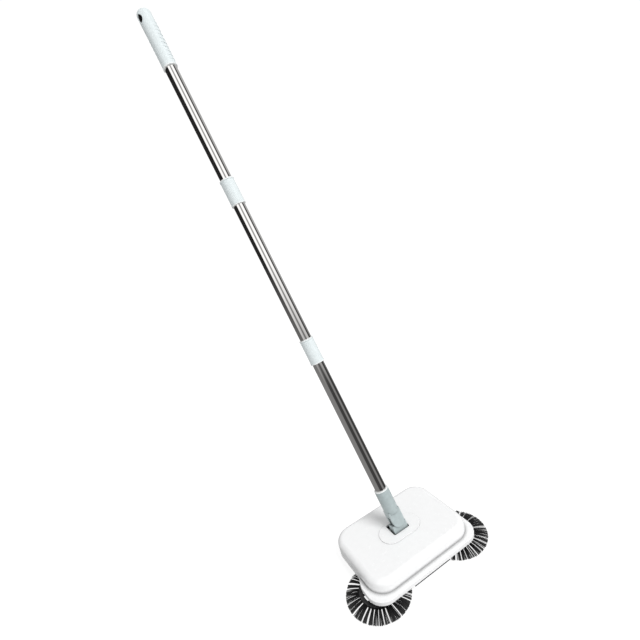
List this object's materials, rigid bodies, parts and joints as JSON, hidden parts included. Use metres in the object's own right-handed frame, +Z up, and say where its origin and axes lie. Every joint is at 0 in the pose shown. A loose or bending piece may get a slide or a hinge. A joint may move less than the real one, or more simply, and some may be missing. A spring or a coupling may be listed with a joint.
{
  "type": "carpet sweeper",
  "caption": "Push carpet sweeper: low white head with side brushes, roller and dust drawer, and a long sectioned steel handle on a two-way pivot.",
  "frame": {"origin": "on the floor, under the middle of the head's shell, midway between the side walls and between the cover's front and back walls", "axes": "+Z up, +X to the head's side, -Y to the front where the side brushes are; the handle leans back towards +Y"},
  "size_m": [0.3424, 0.4403, 1.1826],
  "materials": {
    "white_shell": "glossy white ABS",
    "white_tray": "white ABS",
    "black_rubber": "soft black strip",
    "wheel_rubber": "black tread rubber",
    "steel": "bright zinc-plated steel",
    "bearing_plastic": "natural acetal",
    "black_plastic": "black polypropylene",
    "bristle": "black nylon bristle",
    "gear_plastic": "natural acetal",
    "grey_blue_plastic": "grey-blue satin plastic",
    "stainless_tube": "polished stainless steel",
    "pale_plastic": "very pale blue-grey satin plastic"
  },
  "bodies": {
    "head": {"top_cover": "white_shell", "base_tray": "white_tray", "front_lip": "black_rubber", "body_screws": "steel", "roller_hood": "white_tray", "axle_bushes": "bearing_plastic", "gear_posts": "white_tray", "gear_pins": "steel", "gear_washers": "steel", "spindle_bushes": "bearing_plastic", "rear_pins": "steel", "pivot_cradle": "white_tray", "tilt_pin": "steel"},
    "drive": {"drive_axle": "steel", "wheel_left": "black_plastic", "wheel_right": "black_plastic", "tyre_left": "wheel_rubber", "tyre_right": "wheel_rubber", "roller_core": "black_plastic", "roller_bristles": "bristle", "axle_clips": "steel", "pinion_left": "gear_plastic", "pinion_right": "gear_plastic"},
    "drawer": {"dust_drawer": "white_tray", "dust_flap": "black_rubber"},
    "yoke": {"yoke": "grey_blue_plastic", "sway_pin": "steel"},
    "handle": {"sleeve": "grey_blue_plastic", "tube_lower": "stainless_tube", "connector_lower": "pale_plastic", "tube_middle": "stainless_tube", "connector_upper": "pale_plastic", "tube_upper": "stainless_tube", "tube_plugs": "pale_plastic", "grip": "pale_plastic"},
    "reduction_left": {"reduction_gear_left": "gear_plastic"},
    "idler_left": {"idler_gear_left": "gear_plastic"},
    "brush_left": {"brush_gear_left": "gear_plastic", "spindle_left": "steel", "brush_hub_left": "black_plastic", "brush_bristles_left": "bristle", "brush_screw_left": "steel"},
    "rear_wheel_left": {"rear_wheel_left": "wheel_rubber"},
    "reduction_right": {"reduction_gear_right": "gear_plastic"},
    "idler_right": {"idler_gear_right": "gear_plastic"},
    "brush_right": {"brush_gear_right": "gear_plastic", "spindle_right": "steel", "brush_hub_right": "black_plastic", "brush_bristles_right": "bristle", "brush_screw_right": "steel"},
    "rear_wheel_right": {"rear_wheel_right": "wheel_rubber"}
  },
  "joints": [
    {"name": "drive_spin", "type": "hinge", "parent": "head", "child": "drive", "pos_m": [0, 0.023, 0.02], "axis": [1, 0, 0], "continuous": true},
    {"name": "reduction_left_spin", "type": "hinge", "parent": "head", "child": "reduction_left", "pos_m": [-0.095, 0.023, 0.036], "axis": [0, 0, 1], "continuous": true},
    {"name": "idler_left_spin", "type": "hinge", "parent": "head", "child": "idler_left", "pos_m": [-0.09029, -0.01874, 0.036], "axis": [0, 0, 1], "continuous": true},
    {"name": "brush_left_spin", "type": "hinge", "parent": "head", "child": "brush_left", "pos_m": [-0.1052, -0.0515, 0.02], "axis": [0, 0, 1], "continuous": true},
    {"name": "rear_wheel_left_spin", "type": "hinge", "parent": "head", "child": "rear_wheel_left", "pos_m": [-0.098, 0.078, 0.008], "axis": [1, 0, 0], "continuous": true},
    {"name": "reduction_right_spin", "type": "hinge", "parent": "head", "child": "reduction_right", "pos_m": [0.095, 0.023, 0.036], "axis": [0, 0, 1], "continuous": true},
    {"name": "idler_right_spin", "type": "hinge", "parent": "head", "child": "idler_right", "pos_m": [0.09029, -0.01874, 0.036], "axis": [0, 0, 1], "continuous": true},
    {"name": "brush_right_spin", "type": "hinge", "parent": "head", "child": "brush_right", "pos_m": [0.1052, -0.0515, 0.02], "axis": [0, 0, 1], "continuous": true},
    {"name": "rear_wheel_right_spin", "type": "hinge", "parent": "head", "child": "rear_wheel_right", "pos_m": [0.098, 0.078, 0.008], "axis": [1, 0, 0], "continuous": true},
    {"name": "drawer_slide", "type": "slide", "parent": "head", "child": "drawer", "axis": [0, 1, 0], "range_m": [0, 0.038]},
    {"name": "handle_tilt", "type": "hinge", "parent": "head", "child": "yoke", "pos_m": [0, -0.003, 0.049], "axis": [-1, 0, 0], "range_deg": [-15.5, 29.5]},
    {"name": "handle_sway", "type": "hinge", "parent": "yoke", "child": "handle", "pos_m": [0, 0.00448, 0.07598], "axis": [0, 0.9636, -0.2672], "range_deg": [-29, 41]}
  ],
  "couplings": [
    {"joint": "reduction_left_spin", "follows": "drive_spin", "ratio": 0.66667},
    {"joint": "idler_left_spin", "follows": "drive_spin", "ratio": -0.5},
    {"joint": "brush_left_spin", "follows": "drive_spin", "ratio": 1},
    {"joint": "reduction_right_spin", "follows": "drive_spin", "ratio": -0.66667},
    {"joint": "idler_right_spin", "follows": "drive_spin", "ratio": 0.5},
    {"joint": "brush_right_spin", "follows": "drive_spin", "ratio": -1}
  ]
}
